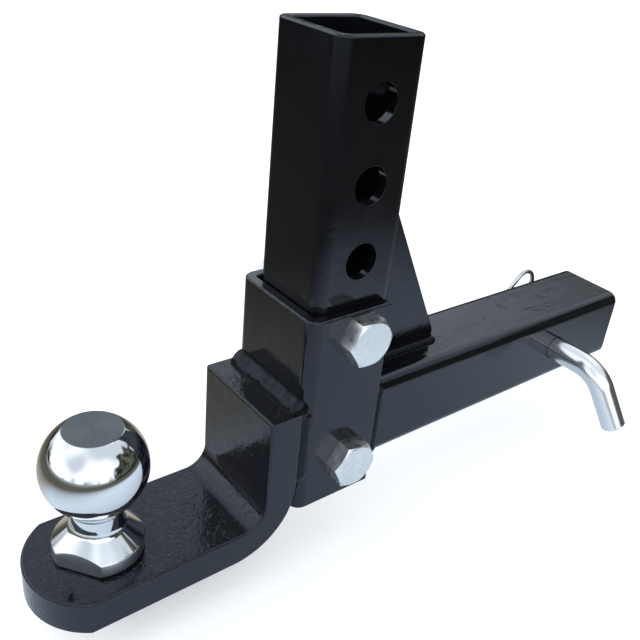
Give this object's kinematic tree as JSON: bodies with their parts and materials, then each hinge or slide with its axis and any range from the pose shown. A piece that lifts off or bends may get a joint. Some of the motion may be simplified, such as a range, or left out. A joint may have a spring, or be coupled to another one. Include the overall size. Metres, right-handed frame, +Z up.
{
  "type": "adjustable ball mount",
  "caption": "Adjustable trailer ball mount: square receiver shank, drilled upright mast, bolted sleeve with L-shaped ball platform, tow ball and bent hitch pin.",
  "frame": {"origin": "centre of the hitch-pin hole, on the axis of the square shank", "axes": "+X along the shank from the receiver towards the ball, +Z up along the mast, +Y along the hitch pin towards its bent handle"},
  "size_m": [0.4185, 0.1343, 0.2875],
  "materials": {
    "black_paint": "gloss",
    "painted_weld": "gloss",
    "ball_chrome": "polished",
    "zinc_plate": "satin",
    "clip_wire": "satin"
  },
  "bodies": {
    "mount": {"shank_tube": "black_paint", "mast_tube": "black_paint", "gusset_plate": "black_paint", "shank_weld": "painted_weld", "gusset_foot_weld": "painted_weld", "gusset_mast_weld": "painted_weld", "sleeve_channel": "black_paint", "ball_platform": "black_paint", "platform_top_weld": "painted_weld", "platform_left_weld": "painted_weld", "platform_right_weld": "painted_weld", "tow_ball": "ball_chrome", "ball_lock_washer": "zinc_plate", "ball_nut": "zinc_plate", "upper_bolt": "zinc_plate", "upper_lock_washer": "zinc_plate", "upper_nut": "zinc_plate", "lower_bolt": "zinc_plate", "lower_lock_washer": "zinc_plate", "lower_nut": "zinc_plate"},
    "pin": {"hitch_pin": "zinc_plate", "pin_clip": "clip_wire"}
  },
  "joints": [
    {"name": "pin_turn", "type": "hinge", "parent": "mount", "child": "pin", "pos_m": [0, 0, 0], "axis": [0, 1, 0], "continuous": true}
  ]
}
